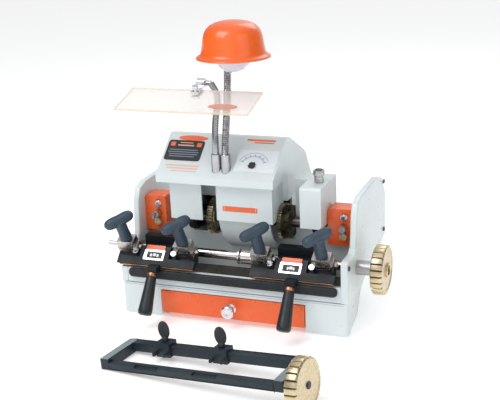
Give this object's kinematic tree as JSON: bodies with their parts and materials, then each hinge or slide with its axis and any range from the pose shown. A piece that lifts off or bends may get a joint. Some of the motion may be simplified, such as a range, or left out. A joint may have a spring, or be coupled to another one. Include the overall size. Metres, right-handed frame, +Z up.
{
  "type": "key duplicating machine",
  "caption": "Bench key duplicating machine with rocking key carriages, cutter spindle under a sloped hood, chip drawer, work lamp, clear shield and a separate long-key clamp.",
  "frame": {"origin": "on the bench under the middle of the machine's base", "axes": "+X to the operator's right along the cutter spindle, +Y to the back, +Z up"},
  "size_m": [0.485, 0.5371, 0.503],
  "materials": {
    "body_paint": "satin",
    "orange_paint": "satin",
    "black_cast": "satin",
    "black_plastic": "satin",
    "knob_plastic": "satin",
    "rubber": "matte",
    "steel": "machined",
    "chrome": "polished",
    "brass": "machined",
    "cutter_steel": "ground",
    "gauge_white": "satin",
    "clear_panel": "clear",
    "bulb_glass": "opal",
    "motor_grey": "satin"
  },
  "bodies": {
    "machine": {"base_shell": "body_paint", "bottom_plate": "steel", "rubber_feet": "rubber", "tray_casting": "body_paint", "left_cheek": "body_paint", "right_cheek": "body_paint", "bumper_bar": "rubber", "hood": "body_paint", "centre_cover": "body_paint", "cutter_guards": "body_paint", "tracer_blocks": "orange_paint", "tracer_clamp_screws": "chrome", "spindle_bearings": "body_paint", "motor": "motor_grey", "drive_belt": "rubber", "gauge_plate": "gauge_white", "power_panel": "black_plastic", "shield_post": "chrome", "shaft_bushes": "steel"},
    "drawer": {"drawer": "orange_paint", "drawer_knob": "chrome"},
    "cross_slide": {"cross_shaft": "chrome", "shaft_collars": "chrome"},
    "feed_wheel": {"feed_wheel": "brass"},
    "carriage_left": {"carriage_left": "black_cast", "grip_left": "black_plastic", "lower_jaws_left": "chrome", "stop_rod": "steel"},
    "carriage_right": {"carriage_right": "black_cast", "grip_right": "black_plastic", "lower_jaws_right": "chrome"},
    "spindle": {"spindle_shaft": "steel", "cutters": "cutter_steel"},
    "motor_rotor": {"motor_rotor": "steel"},
    "lock_plunger": {"lock_plunger": "steel"},
    "dial_knob": {"dial_knob": "black_plastic"},
    "power_rocker": {"power_rocker": "black_plastic"},
    "lamp": {"lamp_stem": "chrome", "lamp_bulb": "bulb_glass", "lamp_shade": "orange_paint"},
    "shield": {"shield_clamp": "chrome", "shield_panel": "clear_panel"},
    "tracer_left": {"tracer_left": "steel"},
    "tracer_right": {"tracer_right": "steel"},
    "adjuster_left": {"adjuster_left": "brass"},
    "adjuster_right": {"adjuster_right": "brass"},
    "long_clamp": {"long_clamp_frame": "black_cast"},
    "slider_one": {"slider_one": "black_cast"},
    "slider_two": {"slider_two": "black_cast"},
    "wing_screw_one": {"wing_screw_one": "black_plastic"},
    "wing_screw_two": {"wing_screw_two": "black_plastic"},
    "long_clamp_wheel": {"long_clamp_wheel": "brass"},
    "jaw_left_outer": {"upper_jaw_left_outer": "chrome"},
    "knob_left_outer": {"knob_left_outer": "knob_plastic"},
    "jaw_left_inner": {"upper_jaw_left_inner": "chrome"},
    "knob_left_inner": {"knob_left_inner": "knob_plastic"},
    "jaw_right_inner": {"upper_jaw_right_inner": "chrome"},
    "knob_right_inner": {"knob_right_inner": "knob_plastic"},
    "jaw_right_outer": {"upper_jaw_right_outer": "chrome"},
    "knob_right_outer": {"knob_right_outer": "knob_plastic"}
  },
  "joints": [
    {"name": "drawer_slide", "type": "slide", "parent": "machine", "child": "drawer", "axis": [0, -1, 0], "range_m": [0, 0.024]},
    {"name": "cross_slide", "type": "slide", "parent": "machine", "child": "cross_slide", "axis": [1, 0, 0], "range_m": [-0.0121, 0.0091]},
    {"name": "feed_wheel_turn", "type": "hinge", "parent": "machine", "child": "feed_wheel", "pos_m": [0.23, -0.066, 0.101], "axis": [1, 0, 0], "range_deg": [-1080, 810]},
    {"name": "carriage_left_rock", "type": "hinge", "parent": "cross_slide", "child": "carriage_left", "pos_m": [-0.133, -0.066, 0.101], "axis": [-1, 0, 0], "range_deg": [0, 18]},
    {"name": "jaw_left_outer_lift", "type": "slide", "parent": "carriage_left", "child": "jaw_left_outer", "axis": [0, -0.4848, 0.8746], "range_m": [0, 0.006]},
    {"name": "knob_left_outer_turn", "type": "hinge", "parent": "jaw_left_outer", "child": "knob_left_outer", "pos_m": [-0.194, -0.10496, 0.12046], "axis": [0, -0.4848, 0.8746], "range_deg": [0, 1440]},
    {"name": "jaw_left_inner_lift", "type": "slide", "parent": "carriage_left", "child": "jaw_left_inner", "axis": [0, -0.4848, 0.8746], "range_m": [0, 0.006]},
    {"name": "knob_left_inner_turn", "type": "hinge", "parent": "jaw_left_inner", "child": "knob_left_inner", "pos_m": [-0.089, -0.10496, 0.12046], "axis": [0, -0.4848, 0.8746], "range_deg": [0, 1440]},
    {"name": "carriage_right_rock", "type": "hinge", "parent": "cross_slide", "child": "carriage_right", "pos_m": [0.11, -0.066, 0.101], "axis": [-1, 0, 0], "range_deg": [0, 18]},
    {"name": "jaw_right_inner_lift", "type": "slide", "parent": "carriage_right", "child": "jaw_right_inner", "axis": [0, -0.4848, 0.8746], "range_m": [0, 0.006]},
    {"name": "knob_right_inner_turn", "type": "hinge", "parent": "jaw_right_inner", "child": "knob_right_inner", "pos_m": [0.049, -0.10496, 0.12046], "axis": [0, -0.4848, 0.8746], "range_deg": [0, 1440]},
    {"name": "jaw_right_outer_lift", "type": "slide", "parent": "carriage_right", "child": "jaw_right_outer", "axis": [0, -0.4848, 0.8746], "range_m": [0, 0.006]},
    {"name": "knob_right_outer_turn", "type": "hinge", "parent": "jaw_right_outer", "child": "knob_right_outer", "pos_m": [0.154, -0.10496, 0.12046], "axis": [0, -0.4848, 0.8746], "range_deg": [0, 1440]},
    {"name": "spindle_turn", "type": "hinge", "parent": "machine", "child": "spindle", "pos_m": [0, -0.037, 0.16], "axis": [1, 0, 0], "continuous": true},
    {"name": "motor_turn", "type": "hinge", "parent": "machine", "child": "motor_rotor", "pos_m": [0, 0.043, 0.182], "axis": [1, 0, 0], "continuous": true},
    {"name": "lock_press", "type": "slide", "parent": "machine", "child": "lock_plunger", "axis": [0, 0, -1], "range_m": [0, 0.007], "stiffness_N_per_m": 400, "springref_m": -0.004},
    {"name": "dial_turn", "type": "hinge", "parent": "machine", "child": "dial_knob", "pos_m": [0.028, -0.07597, 0.26302], "axis": [0, -0.6281, 0.7782], "range_deg": [-135, 135]},
    {"name": "rocker_tilt", "type": "hinge", "parent": "machine", "child": "power_rocker", "pos_m": [0.012, 0.1258, 0.1115], "axis": [1, 0, 0], "range_deg": [-8, 8]},
    {"name": "lamp_swivel", "type": "hinge", "parent": "machine", "child": "lamp", "pos_m": [-0.016, -0.081, 0.292], "axis": [0, 0, 1], "range_deg": [-15, 15]},
    {"name": "shield_tilt", "type": "hinge", "parent": "machine", "child": "shield", "pos_m": [-0.059, -0.064, 0.396], "axis": [1, 0, 0], "range_deg": [-15, 20]},
    {"name": "tracer_left_slide", "type": "slide", "parent": "machine", "child": "tracer_left", "axis": [0, -1, 0], "range_m": [-0.001, 0.001]},
    {"name": "adjuster_left_turn", "type": "hinge", "parent": "machine", "child": "adjuster_left", "pos_m": [-0.163, -0.043, 0.145], "axis": [0, -1, 0], "range_deg": [-720, 720]},
    {"name": "tracer_right_slide", "type": "slide", "parent": "machine", "child": "tracer_right", "axis": [0, -1, 0], "range_m": [-0.001, 0.001]},
    {"name": "adjuster_right_turn", "type": "hinge", "parent": "machine", "child": "adjuster_right", "pos_m": [0.172, -0.043, 0.145], "axis": [0, -1, 0], "range_deg": [-720, 720]},
    {"name": "long_clamp_lift", "type": "slide", "parent": "machine", "child": "long_clamp", "axis": [0, 0, 1], "range_m": [0, 0.12]},
    {"name": "slider_one_slide", "type": "slide", "parent": "long_clamp", "child": "slider_one", "axis": [0.9847, -0.1472, 0.0936], "range_m": [-0.034, 0.026]},
    {"name": "slider_two_slide", "type": "slide", "parent": "long_clamp", "child": "slider_two", "axis": [0.9847, -0.1472, 0.0936], "range_m": [-0.028, 0.094]},
    {"name": "wing_screw_one_turn", "type": "hinge", "parent": "slider_one", "child": "wing_screw_one", "pos_m": [-0.05208, -0.27143, 0.02564], "axis": [-0.0926, 0.0138, 0.9956], "range_deg": [-360, 360]},
    {"name": "wing_screw_two_turn", "type": "hinge", "parent": "slider_two", "child": "wing_screw_two", "pos_m": [0.04934, -0.28659, 0.03528], "axis": [-0.0926, 0.0138, 0.9956], "range_deg": [-360, 360]},
    {"name": "long_clamp_wheel_turn", "type": "hinge", "parent": "long_clamp", "child": "long_clamp_wheel", "pos_m": [0.19248, -0.36561, 0.03984], "axis": [0.9847, -0.1472, 0.0936], "continuous": true}
  ],
  "couplings": [
    {"joint": "cross_slide", "follows": "feed_wheel_turn", "m_per_rad": 0.00063662},
    {"joint": "knob_left_outer_turn", "follows": "jaw_left_outer_lift", "rad_per_m": 4188.8},
    {"joint": "knob_left_inner_turn", "follows": "jaw_left_inner_lift", "rad_per_m": 4188.8},
    {"joint": "knob_right_inner_turn", "follows": "jaw_right_inner_lift", "rad_per_m": 4188.8},
    {"joint": "knob_right_outer_turn", "follows": "jaw_right_outer_lift", "rad_per_m": 4188.8},
    {"joint": "motor_turn", "follows": "spindle_turn", "ratio": 1},
    {"joint": "adjuster_left_turn", "follows": "tracer_left_slide", "rad_per_m": 12566},
    {"joint": "adjuster_right_turn", "follows": "tracer_right_slide", "rad_per_m": 12566}
  ]
}
